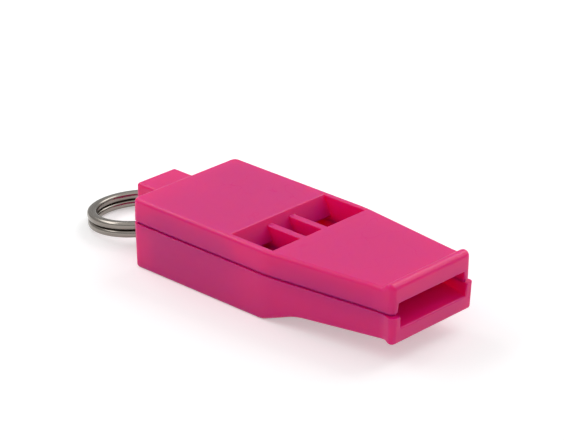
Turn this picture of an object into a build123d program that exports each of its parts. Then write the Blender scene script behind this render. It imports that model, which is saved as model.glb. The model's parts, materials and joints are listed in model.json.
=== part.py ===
"""A slim pealess sports whistle: a base and a cover, moulded and welded together, with a split ring.

The origin is the middle of the flat underside. +X points to the mouth, +Z is up, lengths are millimetres.
"""

import math
import os

from build123d import *

# Body: lengths along X, widths across Y, heights along Z
CHAMBER_LENGTH = 24.5  # rear face to where the sides start to taper
MOUTHPIECE_LENGTH = 19.6  # from there to the cover's mouth face
BODY_WIDTH = 20.0  # across the parallel sides
MOUTH_WIDTH = 14.9  # across the tapered sides at the cover's mouth face
BODY_HEIGHT = 10.15  # flat underside to top plate
COVER_HEIGHT = 3.6  # top plate to the seam
BASE_DRAFT = 2.2  # degrees, the base narrows towards its underside
CORNER_RADIUS = 1.0  # upright corners at the rear
BEND_RADIUS = 20.0  # where the sides turn in towards the mouth
TOP_EDGE_RADIUS = 0.58
BOTTOM_EDGE_RADIUS = 0.45

# Raised underside of the mouthpiece
RAMP_SETBACK = 0.95  # the underside starts to rise this far behind the taper
RAMP_LENGTH = 5.45
RAMP_RISE = 2.0
RAMP_RADIUS = 9.0  # hollow curve at the head of the ramp
HEEL_RADIUS = 3.0  # rounded heel at the foot of the ramp

# Walls
SIDE_WALL = 1.0
REAR_WALL = 1.4
FLOOR_WALL = 1.3
CEILING_WALL = 1.4  # top plate over the chambers
WINDWAY_ROOF_WALL = 2.0  # top plate over the windway
MOUTH_FLOOR_WALL = 1.85  # below the windway at the mouth face, without the lip

# Sound chambers, three side by side, and the two walls between them
DIVIDER_SPACING = 4.2  # middle to middle
DIVIDER_WALL = 1.1
CHAMBER_STEP = 2.2  # each chamber is this much shorter than the one before

# Window slot in the cover
EXIT_ADVANCE = 0.4  # the windway ends this far ahead of the taper
WINDOW_LENGTH = 6.0  # windway exit to sounding edge
SLOPE_LENGTH = 1.35  # slanted rear wall of the slot, measured along X
EDGE_DEPTH = 2.65  # sounding edge below the top plate
EDGE_THICKNESS = 0.25
EDGE_BACK = 2.6  # how far the wedge under the slope reaches back
RIB_RECESS = 0.75  # tops of the two ribs below the top plate
SLOT_EDGE_RADIUS = 0.25
SLOT_LAND = 0.05  # flat left between the slot's rim and the rounded top edge
RIB_EDGE_RADIUS = 0.15

# Windway and mouth
MOUTH_OPENING_HEIGHT = 3.28
SLIT_HEIGHT = 0.95  # windway at its exit
MOUTH_DRAFT = 8.0  # degrees, on the side walls of the windway
MOUTH_EDGE_RADIUS = 0.2
MOUTH_LAND = 0.05  # flat left on the mouth face beside the rounded opening
DIVIDER_ADVANCE = 6.0  # the dividers reach this far into the windway
FIT_CLEARANCE = 0.1  # between what stands up from the base and the cover round it
PLUG_ROOT = 1.5  # depth to which the windway floor block is joined below the seam

# Lips round the mouth: each climbs over its back to a crest, then falls to its nose at the mouth face
UPPER_LIP_LENGTH = 1.9  # foot to mouth face
UPPER_LIP_RISE = 0.68
UPPER_LIP_BACK = 0.6
UPPER_LIP_CREST = 0.7
UPPER_LIP_NOSE = 0.5  # the nose below the crest
UPPER_LIP_ROUND = 0.75
UPPER_LIP_FLARE = 3.2  # the sides start to flare this far behind the mouth face
UPPER_LIP_HOLLOW = 6.0  # hollow curve there
UPPER_LIP_SIDE = 0.25
UPPER_LIP_CORNER = 0.8
LOWER_LIP_REACH = 0.45  # the base's mouth face ahead of the cover's
LOWER_LIP_LENGTH = 1.5
LOWER_LIP_DROP = 0.32
LOWER_LIP_BACK = 0.35
LOWER_LIP_CREST = 0.5
LOWER_LIP_NOSE = 0.2
LOWER_LIP_ROUND = 0.52
LOWER_LIP_FLARE = 2.2
LOWER_LIP_HOLLOW = 2.5
LOWER_LIP_SIDE = 0.8
LOWER_LIP_CORNER = 0.8
LIP_HOLLOW = 0.25  # hollow curve at the foot of each lip

# Shadow groove along the seam
GROOVE_HEIGHT = 0.45
GROOVE_DEPTH = 0.3

# Split ring, one wire in two turns
RING_DIAMETER = 14.6  # outside
WIRE_WIDTH = 1.4  # from inside to outside of the ring
WIRE_HEIGHT = 0.91
WIRE_ROUND = 0.3
TURN_GAP = 0.43  # between the two turns
JOG_START = 40.0  # degrees round from the body, where the wire climbs to the upper turn
JOG_SPAN = 35.0
END_GAP = 4.0  # degrees between a wire end and the climbing wire
FLOOR_GAP = 0.02  # the ring's low end above the surface that the whistle lies on

# Tail block with the hole for the ring
LUG_WIDTH = 7.35
LUG_DROP = 1.42  # its top below the top plate
LUG_EDGE_RADIUS = 0.4
LUG_COVER_GAP = 0.12  # between the block and the rear face of the cover
HOLE_CLEARANCE = 0.3  # round the curved wire
HOLE_FRONT_WALL = 0.85
HOLE_REAR_WALL = 0.75
HOLE_FLOOR_WALL = 0.65
HOLE_EDGE_RADIUS = 0.3

# Places worked out from the sizes above
rear_x = -(CHAMBER_LENGTH - RAMP_SETBACK) / 2
bend_x = rear_x + CHAMBER_LENGTH
mouth_x = bend_x + MOUTHPIECE_LENGTH
chin_x = mouth_x + LOWER_LIP_REACH
heel_x = bend_x - RAMP_SETBACK
ramp_head_x = heel_x + RAMP_LENGTH
exit_x = bend_x + EXIT_ADVANCE
edge_x = exit_x - WINDOW_LENGTH
slope_top_x = edge_x - SLOPE_LENGTH

top_z = BODY_HEIGHT
seam_z = top_z - COVER_HEIGHT
ceiling_z = top_z - CEILING_WALL
rib_top_z = top_z - RIB_RECESS
edge_z = top_z - EDGE_DEPTH
roof_z = top_z - WINDWAY_ROOF_WALL
slit_floor_z = roof_z - SLIT_HEIGHT
mouth_floor_z = roof_z - MOUTH_OPENING_HEIGHT
mouth_under_z = mouth_floor_z - MOUTH_FLOOR_WALL
lug_top_z = top_z - LUG_DROP

half_width = BODY_WIDTH / 2
half_mouth = MOUTH_WIDTH / 2
taper = (half_width - half_mouth) / MOUTHPIECE_LENGTH
chamber_half = half_width - SIDE_WALL
mouth_flat_half = half_mouth + UPPER_LIP_SIDE - UPPER_LIP_CORNER
opening_half = mouth_flat_half - MOUTH_LAND - MOUTH_EDGE_RADIUS
windway_taper = (chamber_half - opening_half) / (mouth_x - exit_x)
floor_slope = (slit_floor_z - mouth_floor_z) / (chin_x - exit_x)

wire_radius = (RING_DIAMETER - WIRE_WIDTH) / 2
turn_pitch = WIRE_HEIGHT + TURN_GAP
ring_height = turn_pitch + WIRE_HEIGHT
wire_bow = wire_radius - math.sqrt(wire_radius**2 - (LUG_WIDTH / 2) ** 2)
hole_radius = math.hypot(WIRE_WIDTH / 2 + wire_bow / 2, ring_height / 2) + HOLE_CLEARANCE
hole_x = rear_x - HOLE_FRONT_WALL - hole_radius
hole_z = HOLE_FLOOR_WALL + hole_radius
lug_rear_x = hole_x - hole_radius - HOLE_REAR_WALL

OVERRUN = 3.0  # how far cutting shapes run past the faces they cut
SNAP = 0.01  # how near a point or edge has to be to count as on a line
WALL_LEAN = 0.3  # a face whose normal rises or falls less than this is a wall
GAP_STEP = 0.5  # distance along the wire between the points where its gap is measured


def outer_half(x):
    """Half the width of the tapered mouthpiece at a place along X."""
    return half_width - taper * (x - bend_x)


def side_half(x):
    """Half the width of the body at a place along X, with the bend between rear and mouthpiece rounded."""
    reach = BEND_RADIUS * math.tan(math.atan(taper) / 2)
    along = x - (bend_x - reach)
    if along <= 0:
        return half_width
    if along >= BEND_RADIUS * math.sin(math.atan(taper)):
        return outer_half(x)
    return half_width - BEND_RADIUS + math.sqrt(BEND_RADIUS**2 - along**2)


def windway_half(x):
    """Half the width of the windway at the seam, at a place along X."""
    return chamber_half - windway_taper * (x - exit_x)


def floor_z(x):
    """Height of the windway floor at a place along X."""
    return slit_floor_z - floor_slope * (x - exit_x)


def on_x(shapes, x):
    """The vertices or edges whose place along X is x."""
    return shapes.filter_by_position(Axis.X, x - SNAP, x + SNAP)


def under_z(x):
    """Height of the mouthpiece's underside ahead of the ramp, at a place along X."""
    return RAMP_RISE + (mouth_under_z - RAMP_RISE) * (x - ramp_head_x) / (chin_x - ramp_head_x)


def moulding_plan(front_x, flare, hollow, side, corner):
    """Plan of a moulding: parallel rear, tapered mouthpiece and sides that flare out into the lip."""
    flare_x = front_x - flare
    near = [
        (rear_x, -half_width),
        (bend_x, -half_width),
        (flare_x, -outer_half(flare_x)),
        (front_x, -half_mouth - side),
    ]
    far = [(x, -y) for x, y in reversed(near)]
    with BuildSketch() as plan:
        Polygon(*near, *far, align=None)
        for x, radius in (
            (rear_x, CORNER_RADIUS),
            (bend_x, BEND_RADIUS),
            (flare_x, hollow),
            (front_x, corner),
        ):
            fillet(on_x(plan.vertices(), x), radius)
    return plan.sketch


def rim_edges(moulding):
    """The edges where a moulding's walls meet its top or its underside, away from the seam."""
    walls = moulding.faces().filter_by(lambda f: abs(f.normal_at().Z) < WALL_LEAN)
    others = moulding.faces() - walls
    edges = walls.edges() & others.edges()
    return edges.filter_by(lambda e: abs(e.center().Z - seam_z) > SNAP)


def windway_outline(inset):
    """Plan corners of the windway, run on past both of its ends."""
    back_x = exit_x - OVERRUN
    front_x = mouth_x + OVERRUN
    back = windway_half(back_x) - inset
    front = windway_half(front_x) - inset
    return (back_x, -back), (front_x, -front), (front_x, front), (back_x, back)


def mouth_edges(moulding):
    """The edges of the blowing mouth on one moulding's front face."""
    front = moulding.faces().sort_by(Axis.X)[-1].edges()
    front = front.filter_by(lambda e: abs(e.center().Y) < opening_half + SNAP)
    return front.filter_by_position(Axis.Z, mouth_floor_z - SNAP, roof_z + SNAP)


def slot_edges(moulding, z, half):
    """The edges inside the window slot at a height, as far out as a half width."""
    level = moulding.edges().filter_by_position(Axis.Z, z - SNAP, z + SNAP)
    inside = level.filter_by_position(Axis.X, slope_top_x - SNAP, exit_x + SNAP)
    return inside.filter_by(lambda e: abs(e.center().Y) < half + SNAP)


seam_up = Plane((0, 0, seam_z), x_dir=(1, 0, 0), z_dir=(0, 0, 1))
seam_down = Plane((0, 0, seam_z), x_dir=(1, 0, 0), z_dir=(0, 0, -1))
exit_plane = Plane((exit_x, 0, 0), x_dir=(0, 1, 0), z_dir=(1, 0, 0))

# Air in the three chambers and their windows, cut out of both mouldings
chamber_bands = (
    (DIVIDER_SPACING / 2 + DIVIDER_WALL / 2, chamber_half),
    (-chamber_half, -DIVIDER_SPACING / 2 - DIVIDER_WALL / 2),
    (-DIVIDER_SPACING / 2 + DIVIDER_WALL / 2, DIVIDER_SPACING / 2 - DIVIDER_WALL / 2),
)
slope_run = SLOPE_LENGTH / EDGE_DEPTH
slope_over_x = slope_top_x - slope_run * OVERRUN
with BuildPart() as chamber_air:
    for place, (low_y, high_y) in enumerate(chamber_bands):
        chamber_rear_x = rear_x + REAR_WALL + place * CHAMBER_STEP
        with BuildSketch(Plane.XZ.offset(-low_y)):
            Polygon(
                (chamber_rear_x, FLOOR_WALL),
                (exit_x, FLOOR_WALL),
                (exit_x, top_z + OVERRUN),
                (slope_over_x, top_z + OVERRUN),
                (edge_x, edge_z),
                (edge_x - slope_run * EDGE_THICKNESS, edge_z - EDGE_THICKNESS),
                (edge_x - EDGE_BACK, ceiling_z),
                (chamber_rear_x, ceiling_z),
                align=None,
            )
        extrude(amount=low_y - high_y)

# Air of the windway above the seam and below it
with BuildPart() as windway_upper_air:
    with BuildSketch(seam_up):
        Polygon(*windway_outline(0), align=None)
    extrude(amount=roof_z - seam_z, taper=MOUTH_DRAFT)
    split(bisect_by=exit_plane, keep=Keep.TOP)

with BuildPart() as windway_lower_air:
    with BuildSketch(seam_down):
        Polygon(*windway_outline(0), align=None)
    extrude(amount=seam_z - mouth_floor_z + MOUTH_FLOOR_WALL / 2, taper=MOUTH_DRAFT)
    split(bisect_by=exit_plane, keep=Keep.TOP)
    with BuildSketch(Plane.XZ):
        Polygon(
            (exit_x - OVERRUN, floor_z(exit_x - OVERRUN)),
            (mouth_x + OVERRUN, floor_z(mouth_x + OVERRUN)),
            (mouth_x + OVERRUN, top_z),
            (exit_x - OVERRUN, top_z),
            align=None,
        )
    extrude(amount=BODY_WIDTH, both=True, mode=Mode.INTERSECT)

# The base's windway floor where it rises above the seam, inside the cover
with BuildPart() as floor_plug:
    with BuildSketch(seam_up.offset(-PLUG_ROOT)):
        Polygon(*windway_outline(FIT_CLEARANCE), align=None)
    extrude(amount=PLUG_ROOT)
    with BuildSketch(seam_up):
        Polygon(*windway_outline(FIT_CLEARANCE), align=None)
    extrude(amount=roof_z - seam_z, taper=MOUTH_DRAFT)
    split(bisect_by=exit_plane, keep=Keep.TOP)
    with BuildSketch(Plane.XZ):
        Polygon(
            (exit_x - OVERRUN, floor_z(exit_x - OVERRUN)),
            (mouth_x + OVERRUN, floor_z(mouth_x + OVERRUN)),
            (exit_x - OVERRUN, floor_z(mouth_x + OVERRUN)),
            align=None,
        )
    extrude(amount=BODY_WIDTH, both=True, mode=Mode.INTERSECT)

# Tail block, with its hole across the body
with BuildPart() as lug:
    with BuildSketch(Plane.XZ):
        Polygon(
            (lug_rear_x, 0),
            (rear_x + REAR_WALL / 2, 0),
            (rear_x + REAR_WALL / 2, seam_z),
            (rear_x - LUG_COVER_GAP, seam_z),
            (rear_x - LUG_COVER_GAP, lug_top_z),
            (lug_rear_x, lug_top_z),
            align=None,
        )
    extrude(amount=LUG_WIDTH / 2, both=True)
    rear_edges = lug.edges().filter_by(Axis.Z) & on_x(lug.edges(), lug_rear_x)
    fillet(rear_edges, LUG_EDGE_RADIUS)
    fillet(lug.faces().sort_by(Axis.Z)[-1].edges().sort_by(Axis.X)[:-1], LUG_EDGE_RADIUS)
    fillet(lug.faces().sort_by(Axis.Z)[0].edges().sort_by(Axis.X)[:-1], LUG_EDGE_RADIUS)
    with BuildSketch(Plane.XZ):
        with Locations((hole_x, hole_z)):
            Circle(hole_radius)
    extrude(amount=LUG_WIDTH, both=True, mode=Mode.SUBTRACT)
    circles = lug.edges().filter_by(GeomType.CIRCLE)
    fillet(circles.filter_by(lambda e: abs(e.radius - hole_radius) < SNAP), HOLE_EDGE_RADIUS)

# Base moulding
with BuildPart() as whistle_base:
    with BuildSketch(seam_down):
        add(moulding_plan(chin_x, LOWER_LIP_FLARE, LOWER_LIP_HOLLOW, LOWER_LIP_SIDE, LOWER_LIP_CORNER))
    extrude(amount=seam_z, taper=BASE_DRAFT)
    foot_x = chin_x - LOWER_LIP_LENGTH
    crest_x = foot_x + LOWER_LIP_BACK
    nose_x = crest_x + LOWER_LIP_CREST
    lip_z = mouth_under_z - LOWER_LIP_DROP
    with BuildSketch(Plane.XZ) as underside_cut:
        Polygon(
            (heel_x - OVERRUN, 0),
            (heel_x, 0),
            (ramp_head_x, RAMP_RISE),
            (foot_x, under_z(foot_x)),
            (crest_x, lip_z),
            (nose_x, lip_z),
            (chin_x, lip_z + LOWER_LIP_NOSE),
            (chin_x + OVERRUN, lip_z + LOWER_LIP_NOSE),
            (chin_x + OVERRUN, -OVERRUN),
            (heel_x - OVERRUN, -OVERRUN),
            align=None,
        )
        fillet(on_x(underside_cut.vertices(), heel_x), HEEL_RADIUS)
        fillet(on_x(underside_cut.vertices(), ramp_head_x), RAMP_RADIUS)
        fillet(on_x(underside_cut.vertices(), foot_x), LIP_HOLLOW)
        fillet(on_x(underside_cut.vertices(), crest_x), LOWER_LIP_ROUND)
        fillet(on_x(underside_cut.vertices(), nose_x), LOWER_LIP_ROUND)
    extrude(amount=BODY_WIDTH, both=True, mode=Mode.SUBTRACT)
    fillet(rim_edges(whistle_base), BOTTOM_EDGE_RADIUS)
    add(lug.part)
    add(chamber_air.part, mode=Mode.SUBTRACT)
    add(windway_lower_air.part, mode=Mode.SUBTRACT)
    add(floor_plug.part)
    divider_length = DIVIDER_ADVANCE - FIT_CLEARANCE
    with BuildSketch(Plane.XY.offset(mouth_floor_z)):
        with Locations((exit_x + FIT_CLEARANCE + divider_length / 2, 0)):
            with GridLocations(0, DIVIDER_SPACING, 1, 2):
                Rectangle(divider_length, DIVIDER_WALL)
    extrude(amount=roof_z - mouth_floor_z)
    fillet(mouth_edges(whistle_base), MOUTH_EDGE_RADIUS)

# Cover moulding
with BuildPart() as whistle_cover:
    cover_plan = moulding_plan(mouth_x, UPPER_LIP_FLARE, UPPER_LIP_HOLLOW, UPPER_LIP_SIDE, UPPER_LIP_CORNER)
    with BuildSketch(seam_up):
        add(cover_plan)
    extrude(amount=COVER_HEIGHT + UPPER_LIP_RISE)
    foot_x = mouth_x - UPPER_LIP_LENGTH
    crest_x = foot_x + UPPER_LIP_BACK
    nose_x = crest_x + UPPER_LIP_CREST
    lip_z = top_z + UPPER_LIP_RISE
    with BuildSketch(Plane.XZ) as top_cut:
        Polygon(
            (rear_x - OVERRUN, top_z),
            (foot_x, top_z),
            (crest_x, lip_z),
            (nose_x, lip_z),
            (mouth_x, lip_z - UPPER_LIP_NOSE),
            (mouth_x + OVERRUN, lip_z - UPPER_LIP_NOSE),
            (mouth_x + OVERRUN, top_z + OVERRUN),
            (rear_x - OVERRUN, top_z + OVERRUN),
            align=None,
        )
        fillet(on_x(top_cut.vertices(), foot_x), LIP_HOLLOW)
        fillet(on_x(top_cut.vertices(), crest_x), UPPER_LIP_ROUND)
        fillet(on_x(top_cut.vertices(), nose_x), UPPER_LIP_ROUND)
    extrude(amount=BODY_WIDTH, both=True, mode=Mode.SUBTRACT)
    fillet(rim_edges(whistle_cover), TOP_EDGE_RADIUS)
    add(chamber_air.part, mode=Mode.SUBTRACT)
    with BuildSketch(Plane.XZ):
        Polygon(
            (slope_top_x + slope_run * RIB_RECESS, rib_top_z),
            (exit_x, rib_top_z),
            (exit_x, top_z + OVERRUN),
            (slope_over_x, top_z + OVERRUN),
            align=None,
        )
    extrude(amount=chamber_half, both=True, mode=Mode.SUBTRACT)
    add(windway_upper_air.part, mode=Mode.SUBTRACT)
    slot_wall = side_half(exit_x) - chamber_half
    slot_rim = min(SLOT_EDGE_RADIUS, slot_wall - TOP_EDGE_RADIUS - SLOT_LAND)
    fillet(slot_edges(whistle_cover, top_z, chamber_half), slot_rim)
    rib_half = DIVIDER_SPACING / 2 + DIVIDER_WALL / 2
    fillet(slot_edges(whistle_cover, rib_top_z, rib_half).filter_by(Axis.X), RIB_EDGE_RADIUS)
    fillet(mouth_edges(whistle_cover), MOUTH_EDGE_RADIUS)
    with BuildSketch(seam_up):
        add(cover_plan)
        offset(amount=-GROOVE_DEPTH, mode=Mode.SUBTRACT)
    extrude(amount=GROOVE_HEIGHT, mode=Mode.SUBTRACT)

# Split ring: it lies through the hole, with its far end down on the surface that the whistle lies on
ring_reach = wire_radius - wire_bow / 2
low_reach = ring_reach + RING_DIAMETER / 2
low_angle = math.atan2(ring_height / 2, low_reach)
ring_tilt = math.asin((hole_z - FLOOR_GAP) / math.hypot(low_reach, ring_height / 2)) - low_angle
ring_x_dir = Vector(math.cos(ring_tilt), 0, math.sin(ring_tilt))
ring_axis = Vector(-math.sin(ring_tilt), 0, math.cos(ring_tilt))
ring_plane = Plane(Vector(hole_x, 0, hole_z) - ring_x_dir * ring_reach, x_dir=ring_x_dir, z_dir=ring_axis)


def ring_point(angle, height, radius=wire_radius):
    """A point on the middle line of the wire, at an angle round the ring from the body."""
    place = math.radians(angle)
    return ring_plane.from_local_coords((radius * math.cos(place), radius * math.sin(place), height))


def wire_plane(angle, height):
    """The plane of the wire's section at an angle round the ring, with its x pointing outwards."""
    middle = ring_point(angle, height)
    outwards = middle - ring_point(angle, height, 0)
    return Plane(middle, x_dir=outwards, z_dir=ring_axis.cross(outwards))


def wire_section(angle, height):
    """The section of the wire at an angle round the ring."""
    with BuildSketch(wire_plane(angle, height)) as section:
        RectangleRounded(WIRE_WIDTH, WIRE_HEIGHT, WIRE_ROUND)
    return section.sketch


def flat_turn(start, span, height):
    """One flat turn of the wire, swept along arcs of about a quarter turn each; returns its path."""
    count = math.ceil(span / 90)
    step = span / count
    with BuildLine() as turn:
        for place in range(count):
            low = start + place * step
            ThreePointArc(*(ring_point(low + share * step, height) for share in (0, 0.5, 1)))
    sweep(sections=wire_section(start, height), path=turn.wire())
    return turn.wire()


def wire_gap(paths):
    """The least gap between points of the wire that lie over half a turn apart along it."""
    points = []
    run = 0
    for path in paths:
        count = math.ceil(path.length / GAP_STEP)
        for place in range(count):
            middle = ring_plane.to_local_coords(path @ (place / count))
            outwards = Vector(middle.X, middle.Y).normalized() * (WIRE_WIDTH / 2 - WIRE_ROUND)
            for across in (-1, 0, 1):
                for up in (-0.5, 0.5):
                    point = middle + outwards * across + Vector(0, 0, WIRE_HEIGHT) * up
                    points.append((run + path.length * place / count, tuple(point)))
        run += path.length
    half_turn = math.pi * wire_radius
    return min(
        math.dist(point, other)
        for place, (far, point) in enumerate(points)
        for near, other in points[:place]
        if far - near > half_turn
    )


turn_span = 360 - JOG_SPAN - END_GAP
jog_end = JOG_START + JOG_SPAN
climb_radius = math.hypot(wire_radius, turn_pitch / 2)  # here the two arcs of the climb meet smoothly
with BuildPart() as split_ring:
    lower_turn = flat_turn(JOG_START - turn_span, turn_span, -turn_pitch / 2)
    with BuildLine() as climb:
        climb_middle = ring_point(JOG_START + JOG_SPAN / 2, 0, climb_radius)
        foot = wire_plane(JOG_START, -turn_pitch / 2)
        first_arc = TangentArc(foot.origin, climb_middle, tangent=foot.z_dir)
        TangentArc(climb_middle, ring_point(jog_end, turn_pitch / 2), tangent=first_arc % 1)
    climb_sections = [wire_section(JOG_START, -turn_pitch / 2), wire_section(jog_end, turn_pitch / 2)]
    sweep(sections=climb_sections, path=climb.wire(), multisection=True)
    upper_turn = flat_turn(jog_end, turn_span, turn_pitch / 2)
print(f"least gap of the ring's wire to itself: {wire_gap((lower_turn, climb.wire(), upper_turn)):.2f} mm")

os.makedirs("parts", exist_ok=True)

whistle_base.part.label = "whistle_base"
export_step(whistle_base.part, "parts/whistle_base.step")

whistle_cover.part.label = "whistle_cover"
export_step(whistle_cover.part, "parts/whistle_cover.step")

split_ring.part.label = "split_ring"
export_step(split_ring.part, "parts/split_ring.step")
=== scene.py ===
"""Dresses the sports whistle: satin pink mouldings, a bright wound split ring and a white studio stage.

The file is laid out as an add-on and run as a script: main() registers it and calls its operators in order.
Lengths are metres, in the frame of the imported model: +X to the mouth, +Z up, the underside at zero.
"""

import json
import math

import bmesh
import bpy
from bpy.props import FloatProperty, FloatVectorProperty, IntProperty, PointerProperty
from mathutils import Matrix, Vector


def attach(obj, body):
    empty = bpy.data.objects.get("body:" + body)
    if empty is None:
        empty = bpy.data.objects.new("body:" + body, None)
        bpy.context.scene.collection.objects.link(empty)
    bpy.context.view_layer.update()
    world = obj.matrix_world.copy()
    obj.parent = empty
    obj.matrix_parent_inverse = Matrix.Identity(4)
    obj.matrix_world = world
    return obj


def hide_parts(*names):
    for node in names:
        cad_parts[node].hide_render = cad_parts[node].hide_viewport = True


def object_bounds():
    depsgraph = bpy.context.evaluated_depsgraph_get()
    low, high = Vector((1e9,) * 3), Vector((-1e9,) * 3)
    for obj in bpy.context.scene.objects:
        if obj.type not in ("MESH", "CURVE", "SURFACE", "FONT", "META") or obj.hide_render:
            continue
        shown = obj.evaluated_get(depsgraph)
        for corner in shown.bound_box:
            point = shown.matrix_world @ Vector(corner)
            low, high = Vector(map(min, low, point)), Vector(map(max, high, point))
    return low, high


bl_info = {
    "name": "Sports whistle",
    "version": (1, 0, 0),
    "blender": (4, 5, 0),
    "location": "3D View > Sidebar > Whistle",
    "description": "Finishes the whistle's mouldings, winds its split ring and sets a white stage",
    "category": "Object",
}

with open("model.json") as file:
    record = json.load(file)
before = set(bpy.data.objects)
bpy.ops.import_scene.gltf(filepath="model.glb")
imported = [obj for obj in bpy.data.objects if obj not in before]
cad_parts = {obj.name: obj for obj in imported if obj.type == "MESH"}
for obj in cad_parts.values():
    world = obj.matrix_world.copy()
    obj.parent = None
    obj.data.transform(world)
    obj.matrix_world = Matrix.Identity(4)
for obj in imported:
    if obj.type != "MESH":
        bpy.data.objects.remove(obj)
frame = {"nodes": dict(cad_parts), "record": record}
cad_box = [list(corner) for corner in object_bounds()]

MILLIMETRE = 0.001
MOULDINGS = ("whistle_base", "whistle_cover")
RING_NODE = "split_ring"
RING_BODY = "ring"
RING_MOUNT = "lanyard_ring"
WHITE = (1, 1, 1, 1)
PLASTIC_IOR = 1.5
NOISE_MIDDLE = 0.5  # noise runs from 0 to 1 about this value
MIX_FIRST, MIX_SECOND, MIX_RESULT = 6, 7, 2  # the colour sockets of a Mix node


def length(name, description, millimetres):
    """A length that a user can change, given in millimetres and kept in metres."""
    metres = millimetres * MILLIMETRE
    return FloatProperty(
        name=name, description=description, default=metres, min=0, precision=6, unit="LENGTH"
    )


def power(name, description, watts):
    """The power of a lamp that a user can change."""
    return FloatProperty(name=name, description=description, default=watts, min=0, unit="POWER")


def position(name, description, place):
    """A place in the frame that a user can change, in metres."""
    return FloatVectorProperty(
        name=name, description=description, default=place, precision=6, subtype="XYZ_LENGTH"
    )


def angle(name, description, degrees):
    """An angle that a user can change, given in degrees and kept in radians."""
    return FloatProperty(name=name, description=description, default=math.radians(degrees), subtype="ANGLE")


def share(name, description, value):
    """A share from 0 to 1 that a user can change."""
    return FloatProperty(name=name, description=description, default=value, min=0, max=1, subtype="FACTOR")


def colour(name, description, value):
    """A colour that a user can change."""
    return FloatVectorProperty(
        name=name, description=description, default=value, min=0, max=1, size=3, subtype="COLOR"
    )


class PlasticFinish(bpy.types.PropertyGroup):
    """Finish of the moulded plastic."""

    body_colour: colour("Colour", "Colour of the plastic", (0.84, 0.004, 0.205))
    pale_colour: colour("Pale colour", "Where the pigment is thinner", (0.86, 0.006, 0.22))
    depth_share: share("Depth share", "Share of the light that goes below the plastic's surface", 0.8)
    red_depth: length("Red depth", "How far red light goes through the plastic", 5)
    green_depth: length("Green depth", "How far green light goes", 0.2)
    blue_depth: length("Blue depth", "How far blue light goes", 0.6)
    reflection: share("Reflection", "Strength of the surface's reflection, 0.5 for clear plastic", 0.35)
    roughness: share("Roughness", "Roughness of the satin surface", 0.33)
    roughness_spread: share("Roughness spread", "How much the gloss varies over the surface", 0.10)
    cloud_size: length("Cloud size", "Size of the soft clouds in the pigment", 6.0)
    grain_size: length("Grain size", "Size of the fine grain that the mould leaves", 0.16)
    grain_depth: length("Grain depth", "Depth of that grain", 0.0016)
    wave_size: length("Wave size", "Size of the slow waves where the plastic shrank", 7.0)
    wave_depth: length("Wave depth", "Depth of those waves", 0.006)
    scuff_size: length("Scuff size", "Spacing of the hair-fine handling marks", 5.0)
    scuff_width: share("Scuff width", "Width of a mark, as a share of its noise", 0.006)


class RingForm(bpy.types.PropertyGroup):
    """Shape of the split ring."""

    diameter: length("Diameter", "Outside diameter of the ring", 14.6)
    wire_width: length("Wire width", "Wire from the inside to the outside of the ring", 1.4)
    wire_height: length("Wire height", "Wire along the ring's axis", 1.09)
    turn_gap: length("Turn gap", "Gap between the two turns", 0.06)
    climb_start: angle("Climb start", "Where the wire starts to climb, round from the body", 40)
    climb_span: angle("Climb span", "How far round the climb takes", 35)
    end_gap: angle("End gap", "Angle between a wire end and the climbing wire", 4)
    end_chamfer: length("End chamfer", "Chamfer of the cut wire ends", 0.08)
    squareness: FloatProperty(
        name="Squareness", description="2 is an oval wire, more is squarer", default=2.9, min=2, max=12
    )
    turn_steps: IntProperty(name="Turn steps", description="Sections in a full turn", default=240, min=24)
    wire_steps: IntProperty(name="Wire steps", description="Points round the wire", default=40, min=8)


class SteelFinish(bpy.types.PropertyGroup):
    """Finish of the drawn steel wire."""

    bright_colour: colour("Bright colour", "Colour of the bare steel", (0.32, 0.29, 0.258))
    dull_colour: colour("Dull colour", "Colour in the drawing marks", (0.21, 0.188, 0.165))
    roughness: share("Roughness", "Roughness of the wire", 0.18)
    roughness_spread: share("Roughness spread", "How much the gloss varies along the wire", 0.14)
    mark_size: length("Mark size", "Width of the drawing marks along the wire", 0.05)
    mark_depth: length("Mark depth", "Depth of those marks", 0.0012)
    dull_below: share("Dull below", "Height in a mark up to which the steel is dull", 0.3)
    bright_above: share("Bright above", "Height in a mark from which the steel is bright", 0.6)
    smudge_size: length("Smudge size", "Size of the dull patches", 1.6)


class StudioLook(bpy.types.PropertyGroup):
    """Camera, lights and floor."""

    camera_place: position("Camera place", "Where the camera stands", (0.214555, -0.228398, 0.147641))
    camera_azimuth: angle("Camera azimuth", "Round from the near side towards the mouth", 42.343)
    camera_elevation: angle("Camera elevation", "Above the horizon", 24.105)
    camera_roll: angle("Camera roll", "Turn about the line of sight", 0.943)
    focal_length: length("Focal length", "Focal length of the lens", 163.238)
    sensor_width: length("Sensor width", "Width of the sensor", 36)
    floor_size: length("Floor size", "Side of the square floor", 6000)
    floor_colour: colour("Floor colour", "Colour of the floor", (0.8, 0.8, 0.8))
    floor_lift: share("Floor lift", "Light added to the floor where it is seen, to whiten it", 0.40)
    wall_light: share("Wall light", "Light from the studio's walls, near the horizon", 0.52)
    ceiling_light: share("Ceiling light", "Light from overhead", 0.5)
    ceiling_start: angle("Ceiling start", "Height above the horizon where the light starts to grow", 20)
    ceiling_end: angle("Ceiling end", "Height above the horizon where it is full", 50)
    key_power: power("Key power", "Watts of the softbox", 1.55)
    key_size: length("Key size", "Side of the softbox", 450)
    key_place: position("Key place", "Middle of the softbox behind the whistle", (0.05, 0.50, 0.52))
    strip_power: power("Strip power", "Watts of the strip box", 1.3)
    strip_length: length("Strip length", "Long side of the strip box", 800)
    strip_width: length("Strip width", "Short side of the strip box", 180)
    strip_place: position("Strip place", "Middle of the box that the edges mirror", (-0.42, -0.13, 0.46))


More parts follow.
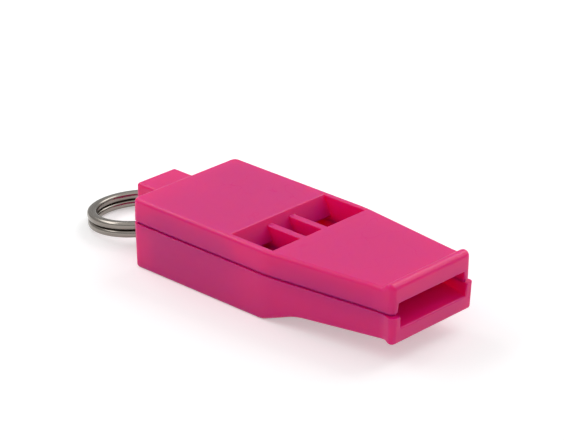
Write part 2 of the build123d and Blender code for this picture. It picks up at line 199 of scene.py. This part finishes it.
class WhistleLook(bpy.types.PropertyGroup):
    """All that a user can change."""

    plastic: PointerProperty(type=PlasticFinish)
    ring: PointerProperty(type=RingForm)
    steel: PointerProperty(type=SteelFinish)
    studio: PointerProperty(type=StudioLook)


class Shade:
    """A value, vector or colour in a node tree. Arithmetic on values adds Math nodes."""

    def __init__(self, nodes, socket):
        self.nodes = nodes
        self.socket = socket

    def math(self, operation, *values):
        return self.nodes.add("ShaderNodeMath", {"operation": operation}, dict(enumerate(values)))

    def __add__(self, other):
        return self.math("ADD", self, other)

    __radd__ = __add__

    def __sub__(self, other):
        return self.math("SUBTRACT", self, other)

    def __rsub__(self, other):
        return self.math("SUBTRACT", other, self)

    def __mul__(self, other):
        return self.math("MULTIPLY", self, other)

    __rmul__ = __mul__

    def __pow__(self, other):
        return self.math("POWER", self, other)

    def __abs__(self):
        return self.math("ABSOLUTE", self)


class NodeSheet:
    """The nodes of a material or a world, emptied and filled again."""

    def __init__(self, tree):
        self.tree = tree
        tree.nodes.clear()

    def add(self, kind, settings=None, inputs=None, output=0):
        """Adds one node, sets it up, fills its sockets and returns one output, if it has any."""
        node = self.tree.nodes.new(kind)
        for name, value in (settings or {}).items():
            setattr(node, name, value)
        for name, value in (inputs or {}).items():
            if isinstance(value, Shade):
                self.tree.links.new(value.socket, node.inputs[name])
            else:
                node.inputs[name].default_value = value
        return Shade(self, node.outputs[output]) if node.outputs else None

    def place(self):
        """The point on the piece, in metres."""
        return self.add("ShaderNodeTexCoord", output="Object")

    def parts(self, vector):
        """The three numbers of a vector."""
        split = self.add("ShaderNodeSeparateXYZ", inputs={"Vector": vector}).socket.node
        return [Shade(self, socket) for socket in split.outputs]

    def noise(self, vector, size, detail):
        """Soft noise from 0 to 1: lumps of a size in metres, and finer ones on them by the detail."""
        inputs = {"Vector": vector, "Scale": 1 / size, "Detail": detail}
        return self.add("ShaderNodeTexNoise", inputs=inputs)

    def mix(self, factor, first, second):
        """A colour between two colours."""
        inputs = {"Factor": factor, MIX_FIRST: (*first, 1), MIX_SECOND: (*second, 1)}
        return self.add("ShaderNodeMix", {"data_type": "RGBA"}, inputs, MIX_RESULT)

    def ramp(self, value, low, high):
        """0 below low, 1 above high and a smooth rise between them."""
        inputs = {"Value": value, "From Min": low, "From Max": high}
        return self.add("ShaderNodeMapRange", {"interpolation_type": "SMOOTHSTEP"}, inputs)

    def bump(self, height, depth, normal=None):
        """A normal bent by a height from 0 to 1 of that depth."""
        inputs = {"Height": height, "Distance": depth, "Strength": 1.0}
        if normal:
            inputs["Normal"] = normal
        return self.add("ShaderNodeBump", inputs=inputs)

    def glow(self, strength):
        """White light from the surroundings."""
        return self.add("ShaderNodeBackground", inputs={"Color": WHITE, "Strength": strength})

    def seen(self):
        """1 for what the eye sees straight, 0 for all other light."""
        return self.add("ShaderNodeLightPath", output="Is Camera Ray")

    def mirrored(self):
        """1 for what is seen in a reflection or through glass, 0 for all other light."""
        glossy = self.add("ShaderNodeLightPath", output="Is Glossy Ray")
        through = self.add("ShaderNodeLightPath", output="Is Transmission Ray")
        return glossy.math("MAXIMUM", glossy, through)


def put_in_scene(name, data):
    """A new object that shows a mesh, a lamp or a camera."""
    thing = bpy.data.objects.new(name, data)
    bpy.context.scene.collection.objects.link(thing)
    return thing


def new_finish(name):
    """A new material and its empty node sheet."""
    material = bpy.data.materials.new(name)
    material.use_nodes = True
    return material, NodeSheet(material.node_tree)


def satin_plastic(look):
    """Moulded plastic: clouded pigment, satin grain, slow sink waves and a few hair-fine marks."""
    material, nodes = new_finish("pink_plastic")
    place = nodes.place()
    clouds = nodes.noise(place, look.cloud_size, detail=3)
    grain = nodes.noise(place, look.grain_size, detail=2)
    waves = nodes.noise(place, look.wave_size, detail=1)
    scuff_noise = nodes.noise(place, look.scuff_size, detail=1)
    scuffs = 1 - nodes.ramp(abs(scuff_noise - NOISE_MIDDLE), 0, look.scuff_width)
    unevenness = (clouds - NOISE_MIDDLE) + (grain - NOISE_MIDDLE) + scuffs
    waved = nodes.bump(waves, look.wave_depth)
    shader = nodes.add(
        "ShaderNodeBsdfPrincipled",
        inputs={
            "Base Color": nodes.mix(clouds, look.body_colour, look.pale_colour),
            "Roughness": look.roughness + unevenness * look.roughness_spread,
            "IOR": PLASTIC_IOR,
            "Specular IOR Level": look.reflection,
            "Subsurface Weight": look.depth_share,
            "Subsurface Radius": (look.red_depth, look.green_depth, look.blue_depth),
            "Subsurface Scale": 1.0,
            "Normal": nodes.bump(grain, look.grain_depth, waved),
        },
    )
    nodes.add("ShaderNodeOutputMaterial", inputs={"Surface": shader})
    return material


def drawn_steel(look):
    """Steel wire with fine marks that run along it, and dull patches where it was handled."""
    material, nodes = new_finish("ring_steel")
    place = nodes.place()
    x, y, z = nodes.parts(place)
    radius = (x * x + y * y) ** 0.5
    round_angle = x.math("ARCTAN2", y, x)
    along = nodes.add("ShaderNodeCombineXYZ", inputs={0: radius, 1: z, 2: round_angle * look.mark_size})
    marks = nodes.noise(along, look.mark_size, detail=3)
    smudges = nodes.noise(place, look.smudge_size, detail=3)
    brightness = nodes.ramp(marks, look.dull_below, look.bright_above)
    shader = nodes.add(
        "ShaderNodeBsdfPrincipled",
        inputs={
            "Base Color": nodes.mix(brightness, look.dull_colour, look.bright_colour),
            "Metallic": 1.0,
            "Roughness": look.roughness + (smudges - NOISE_MIDDLE) * look.roughness_spread,
            "Normal": nodes.bump(marks, look.mark_depth),
        },
    )
    nodes.add("ShaderNodeOutputMaterial", inputs={"Surface": shader})
    return material


def ring_frame(form):
    """The ring's own frame: middle at the origin, +X to the body, +Z along the ring's axis."""
    mount = next(mount for mount in frame["record"]["mounts"] if mount["name"] == RING_MOUNT)
    outwards = Vector(mount["axis"]).normalized()
    middle = Vector(mount["pos_m"]) - outwards * (form.diameter / 2 - form.wire_width)
    to_body = -outwards
    across = Vector((0, 1, 0))
    axis = to_body.cross(across)
    turned = Matrix((to_body, across, axis)).transposed().to_4x4()
    return Matrix.Translation(middle) @ turned


def wire_outline(form):
    """Points round the wire's section, across the ring and along its axis, as shares of its size."""
    points = []
    for step in range(form.wire_steps):
        turn = math.tau * step / form.wire_steps
        across, up = math.cos(turn), math.sin(turn)
        reach = (abs(across) ** form.squareness + abs(up) ** form.squareness) ** (1 / form.squareness)
        points.append((across / reach / 2, up / reach / 2))
    return points


def climb_share(place):
    """How far up the climb the wire is, from 0 to 1, at a share of the climb's span."""
    inside = min(max(place, 0), 1)
    return inside * inside * (3 - 2 * inside)


def wire_stations(form):
    """Angle, height and thinness of each section along the wire, from its lower end to its upper end."""
    pitch = form.wire_height + form.turn_gap
    turn = math.tau - form.climb_span - form.end_gap
    start = form.climb_start - turn
    whole = 2 * turn + form.climb_span
    steps = round(form.turn_steps * whole / math.tau)
    end_turn = form.end_chamfer / (form.diameter / 2)
    thin = 2 * form.end_chamfer
    stations = [(start, -pitch / 2, thin)]
    for step in range(steps + 1):
        here = start + end_turn + (whole - 2 * end_turn) * step / steps
        height = pitch * (climb_share((here - form.climb_start) / form.climb_span) - 0.5)
        stations.append((here, height, 0))
    stations.append((start + whole, pitch / 2, thin))
    return stations


def wound_ring(form):
    """The mesh of one wire wound in two turns, in the ring's own frame."""
    outline = wire_outline(form)
    middle_radius = (form.diameter - form.wire_width) / 2
    mesh = bmesh.new()
    rings = []
    for turn, height, thin in wire_stations(form):
        section = []
        for across, up in outline:
            radius = middle_radius + across * (form.wire_width - thin)
            high = height + up * (form.wire_height - thin)
            section.append(mesh.verts.new((radius * math.cos(turn), radius * math.sin(turn), high)))
        rings.append(section)
    for before, after in zip(rings, rings[1:]):
        for point in range(len(outline)):
            onwards = (point + 1) % len(outline)
            mesh.faces.new((before[point], before[onwards], after[onwards], after[point]))
    mesh.faces.new(rings[0])
    mesh.faces.new(reversed(rings[-1]))
    bmesh.ops.recalc_face_normals(mesh, faces=mesh.faces)
    for face in mesh.faces:
        face.smooth = len(face.verts) == 4
    data = bpy.data.meshes.new("split_ring_wire")
    mesh.to_mesh(data)
    mesh.free()
    return data


def paint(piece, material):
    """Gives a piece one material all over."""
    piece.data.materials.clear()
    piece.data.materials.append(material)


def studio_floor(studio):
    """A plain white floor that keeps the whistle's shadow."""
    mesh = bmesh.new()
    bmesh.ops.create_grid(mesh, x_segments=1, y_segments=1, size=studio.floor_size / 2)
    data = bpy.data.meshes.new("studio_floor")
    mesh.to_mesh(data)
    mesh.free()
    floor = put_in_scene("studio_floor", data)
    material, nodes = new_finish("white_floor")
    paper = nodes.add("ShaderNodeBsdfDiffuse", inputs={"Color": (*studio.floor_colour, 1)})
    lift = nodes.add("ShaderNodeEmission", inputs={"Color": WHITE, "Strength": studio.floor_lift})
    lifted = nodes.add("ShaderNodeAddShader", inputs={0: paper, 1: lift})
    looked_at = nodes.seen() + nodes.mirrored()
    shader = nodes.add("ShaderNodeMixShader", inputs={0: looked_at, 1: paper, 2: lifted})
    nodes.add("ShaderNodeOutputMaterial", inputs={"Surface": shader})
    paint(floor, material)


def studio_world(studio):
    """White where it is seen, with dimmer walls in reflections, and soft light on the whistle."""
    world = bpy.data.worlds.new("white_studio")
    world.use_nodes = True
    nodes = NodeSheet(world.node_tree)
    height = nodes.parts(nodes.add("ShaderNodeTexCoord", output="Generated"))[2]
    overhead = nodes.ramp(height, math.sin(studio.ceiling_start), math.sin(studio.ceiling_end))
    wall = studio.wall_light
    light = nodes.glow(wall + overhead * (studio.ceiling_light - wall))
    reflection = nodes.glow(wall + overhead * (1 - wall))
    backdrop = nodes.glow(1.0)
    unseen = nodes.add("ShaderNodeMixShader", inputs={0: nodes.mirrored(), 1: light, 2: reflection})
    shader = nodes.add("ShaderNodeMixShader", inputs={0: nodes.seen(), 1: unseen, 2: backdrop})
    nodes.add("ShaderNodeOutputWorld", inputs={"Surface": shader})
    bpy.context.scene.world = world


def softbox(name, watts, sides, place, target):
    """A softbox that points at a target, with its first side level."""
    data = bpy.data.lights.new(name, "AREA")
    data.shape = "RECTANGLE"
    data.energy = watts
    data.size, data.size_y = sides
    lamp = put_in_scene(name, data)
    lamp.location = place
    lamp.rotation_euler = (Vector(target) - Vector(place)).to_track_quat("-Z", "Y").to_euler()


def photo_camera(studio):
    """The camera at the photograph's place and angle."""
    data = bpy.data.cameras.new("photo_camera")
    data.sensor_fit = "HORIZONTAL"
    data.sensor_width = studio.sensor_width / MILLIMETRE
    data.lens = studio.focal_length / MILLIMETRE
    camera = put_in_scene("photo_camera", data)
    swing = Matrix.Rotation(studio.camera_azimuth, 4, "Z")
    tilt = Matrix.Rotation(math.pi / 2 - studio.camera_elevation, 4, "X")
    roll = Matrix.Rotation(studio.camera_roll, 4, "Z")
    camera.matrix_world = Matrix.Translation(studio.camera_place) @ swing @ tilt @ roll
    bpy.context.scene.camera = camera


class WHISTLE_OT_finish_mouldings(bpy.types.Operator):
    """Give the base and the cover their satin plastic"""

    bl_idname = "whistle.finish_mouldings"
    bl_label = "Finish mouldings"

    def execute(self, context):
        plastic = satin_plastic(context.scene.whistle.plastic)
        for name in MOULDINGS:
            paint(frame["nodes"][name], plastic)
        return {"FINISHED"}


class WHISTLE_OT_wind_ring(bpy.types.Operator):
    """Wind the split ring from one steel wire in two turns"""

    bl_idname = "whistle.wind_ring"
    bl_label = "Wind split ring"

    def execute(self, context):
        look = context.scene.whistle
        ring = put_in_scene("wound_split_ring", wound_ring(look.ring))
        ring.matrix_world = ring_frame(look.ring)
        paint(ring, drawn_steel(look.steel))
        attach(ring, RING_BODY)
        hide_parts(RING_NODE)
        return {"FINISHED"}


class WHISTLE_OT_set_stage(bpy.types.Operator):
    """Set the white floor, the soft light and the camera"""

    bl_idname = "whistle.set_stage"
    bl_label = "Set stage"

    def execute(self, context):
        studio = context.scene.whistle.studio
        context.scene.view_settings.view_transform = "Standard"
        studio_floor(studio)
        studio_world(studio)
        low, high = (Vector(corner) for corner in cad_box)
        middle = (low + high) / 2
        key_sides = (studio.key_size, studio.key_size)
        strip_sides = (studio.strip_length, studio.strip_width)
        softbox("key_box", studio.key_power, key_sides, studio.key_place, middle)
        softbox("strip_box", studio.strip_power, strip_sides, studio.strip_place, middle)
        photo_camera(studio)
        return {"FINISHED"}


class WHISTLE_PT_look(bpy.types.Panel):
    """The whistle's sizes, finishes and operators"""

    bl_idname = "WHISTLE_PT_look"
    bl_label = "Sports whistle"
    bl_space_type = "VIEW_3D"
    bl_region_type = "UI"
    bl_category = "Whistle"

    def draw(self, context):
        look = context.scene.whistle
        steps = (
            (look.plastic, WHISTLE_OT_finish_mouldings),
            (look.ring, WHISTLE_OT_wind_ring),
            (look.steel, None),
            (look.studio, WHISTLE_OT_set_stage),
        )
        for settings, operator in steps:
            box = self.layout.box()
            for name in settings.__annotations__:
                box.prop(settings, name)
            if operator:
                box.operator(operator.bl_idname)


CLASSES = (
    PlasticFinish,
    RingForm,
    SteelFinish,
    StudioLook,
    WhistleLook,
    WHISTLE_OT_finish_mouldings,
    WHISTLE_OT_wind_ring,
    WHISTLE_OT_set_stage,
    WHISTLE_PT_look,
)


def register():
    """Adds the classes and the whistle's settings to Blender."""
    for one_class in CLASSES:
        bpy.utils.register_class(one_class)
    bpy.types.Scene.whistle = PointerProperty(type=WhistleLook)


def unregister():
    """Takes them away again."""
    del bpy.types.Scene.whistle
    for one_class in reversed(CLASSES):
        bpy.utils.unregister_class(one_class)


def main():
    """Dresses the whistle."""
    register()
    bpy.ops.whistle.finish_mouldings()
    bpy.ops.whistle.wind_ring()
    bpy.ops.whistle.set_stage()


if __name__ == "__main__":
    main()
